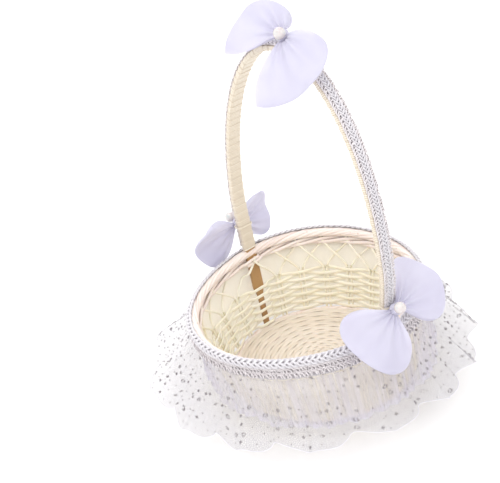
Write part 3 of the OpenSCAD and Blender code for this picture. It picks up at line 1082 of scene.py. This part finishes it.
def pearl():
    """A drilled pearl, slightly out of round, with a shallow hole at each end."""
    sides = 48
    a = around(sides)[:, None]
    polar = np.linspace(0.10, math.pi - 0.10, 33)[None]
    r = PEARL_R * (1 + 0.006 * np.sin(3 * a + 2 * polar)) * np.ones_like(polar)
    body = np.stack(np.broadcast_arrays(r * np.sin(polar) * np.cos(a),
                                        r * np.sin(polar) * np.sin(a),
                                        r * np.cos(polar) * 0.985), -1)
    hole = body[:, :1] * [0.6, 0.6, 1] - [0, 0, PEARL_R * 0.35]
    foot = body[:, -1:] * [0.6, 0.6, 1] + [0, 0, PEARL_R * 0.35]
    grid = np.concatenate([hole, body, foot], 1)
    points, faces, place = sheet_of(grid, True)
    columns = grid.shape[1]
    faces.append(list(range(0, sides * columns, columns)))
    faces.append(list(range(sides * columns - 1, 0, -columns)))
    return points, faces, place


def stitch():
    """Thread that comes out of the pearl's hole and goes down beside it."""
    s = np.linspace(0, 1, 12)
    path = np.stack([PEARL_R * 0.16 * (s - 0.5), 0 * s,
                     PEARL_R * (0.86 + 0.12 * np.sin(math.pi * s))], -1)
    out = np.tile([0.0, 1.0, 0.0], (12, 1))
    return sweep(path, out, oval(0.00022, 0.00022, 8))


def bow(name, turn, tilt, loops, tied):
    """A bow with its loops, knot, tie around the handle, and pearl."""
    matrix = bow_frame(name, turn, tilt)
    for label, values in loops:
        loop = piece(f"{name}_ribbon_{label}", [placed(bow_loop(*values), matrix)],
                     bow_organza, [f"{name}_loop_{label}"])
    piece(f"{name}_knot_ribbon", [placed(knot(), matrix)], bow_organza,
          [f"{name}_knot"])
    piece(f"{name}_tie_thread", [tied], tie_thread, [f"{name}_knot"])
    pearl_matrix = matrix.copy()
    pearl_matrix[:3, 3] = matrix[:3, 3] + matrix[:3, 2] * (KNOT_R + PEARL_R)
    piece(f"{name}_pearl_bead", [placed(pearl(), pearl_matrix), placed(stitch(), pearl_matrix)],
          pearl_skin, [f"{name}_pearl"])


SIDE_TIE_Z = wrap_low.z + 0.0167    # height of the side bows' knots on the legs
half_out = STRIP_T / 2 + WRAP_T + BRAID_T / 2 + 0.0005
half_side = STRIP_W / 2 + WRAP_T + 0.0005
lean = math.atan(LEG_SLOPE)
top_middle = np.array([0.0, 0.0, HANDLE_Z + BRAID_T / 2])
top_tie = tie(top_middle, np.array([0.0, 0.0, 1.0]), np.array([1.0, 0.0, 0.0]), half_out, half_side)
bow("top", 30, 38,
    [("left", (138, 0.70 * LOOP_LEN, 60, 0.46, 0.0, 0, 1)),
     ("right", (-50, LOOP_LEN, 50, -0.2, 0.012, 0, 2))], top_tie)


def side_tie(side):
    """The turns of thread around a leg, at the height of its bow's knot."""
    z = SIDE_TIE_Z
    middle = np.array([side * (side_reach(z) + STRIP_OFF + BRAID_T / 2), 0.0, z])
    out = np.array([side * math.cos(lean), 0.0, -math.sin(lean)])
    up = np.array([side * math.sin(lean), 0.0, math.cos(lean)])
    return tie(middle, out, up, half_out, half_side)


bow("near", 80, 38,
    [("left", (215, LOOP_LEN, 50, 0.0, 0.0, 0, 3)),
     ("right", (16, 0.90 * LOOP_LEN, 50, 0.0, 0.0, 0, 4))], side_tie(1))
bow("far", -86, 22,
    [("left", (186, 0.75 * LOOP_LEN, 42, 0.0, 0.0, -30, 5)),
     ("right", (-18, 0.9 * LOOP_LEN, 44, 0.0, 0.0, 10, 6))], side_tie(-1))


# ---- Stage, light and camera ----

def stage():
    mesh = bpy.data.meshes.new("floor")
    size = 6.0
    mesh.from_pydata([(-size, -size, 0), (size, -size, 0), (size, size, 0), (-size, size, 0)],
                     [], [(0, 1, 2, 3)])
    mesh.materials.append(floor_look())
    floor = bpy.data.objects.new("floor", mesh)
    bpy.context.scene.collection.objects.link(floor)


def lamp(name, place, target, size, power):
    """A soft square light that faces the target."""
    data = bpy.data.lights.new(name, "AREA")
    data.size = size
    data.energy = power
    made = bpy.data.objects.new(name, data)
    made.location = place
    made.rotation_euler = (Vector(target) - Vector(place)).to_track_quat("-Z", "Y").to_euler()
    bpy.context.scene.collection.objects.link(made)


def world(strength):
    made = bpy.data.worlds.new("world")
    made.use_nodes = True
    back = made.node_tree.nodes["Background"]
    back.inputs["Color"].default_value = (1.0, 1.0, 1.0, 1.0)
    back.inputs["Strength"].default_value = strength
    bpy.context.scene.world = made


def camera():
    """A long lens from the front right, looking down, rolled a little to the left."""
    azimuth, elevation, roll = (math.radians(a) for a in (55.24, 32.5, -8.65))
    distance = 0.90748
    target = Vector((-0.01889, -0.03028, 0.10195))
    back = Vector((math.sin(azimuth) * math.cos(elevation),
                   -math.cos(azimuth) * math.cos(elevation), math.sin(elevation)))
    level = Vector((math.cos(azimuth), math.sin(azimuth), 0))
    rise = back.cross(level)
    right = level * math.cos(roll) + rise * math.sin(roll)
    up = rise * math.cos(roll) - level * math.sin(roll)
    data = bpy.data.cameras.new("camera")
    data.sensor_width = 36
    data.lens = 108
    made = bpy.data.objects.new("camera", data)
    turned = Matrix((right, up, back)).transposed().to_4x4()
    made.matrix_world = Matrix.Translation(target + back * distance) @ turned
    bpy.context.scene.collection.objects.link(made)
    bpy.context.scene.camera = made


stage()
world(1.05)
middle = (0.0, 0.0, 0.08)
lamp("key", (0.0, -0.7, 1.4), middle, 0.9, 8.5)
lamp("fill", (1.2, 0.3, 0.9), middle, 1.2, 3.5)
lamp("back", (-1.1, 0.7, 0.8), middle, 1.0, 6)
camera()
bpy.context.scene.view_settings.view_transform = "Standard"
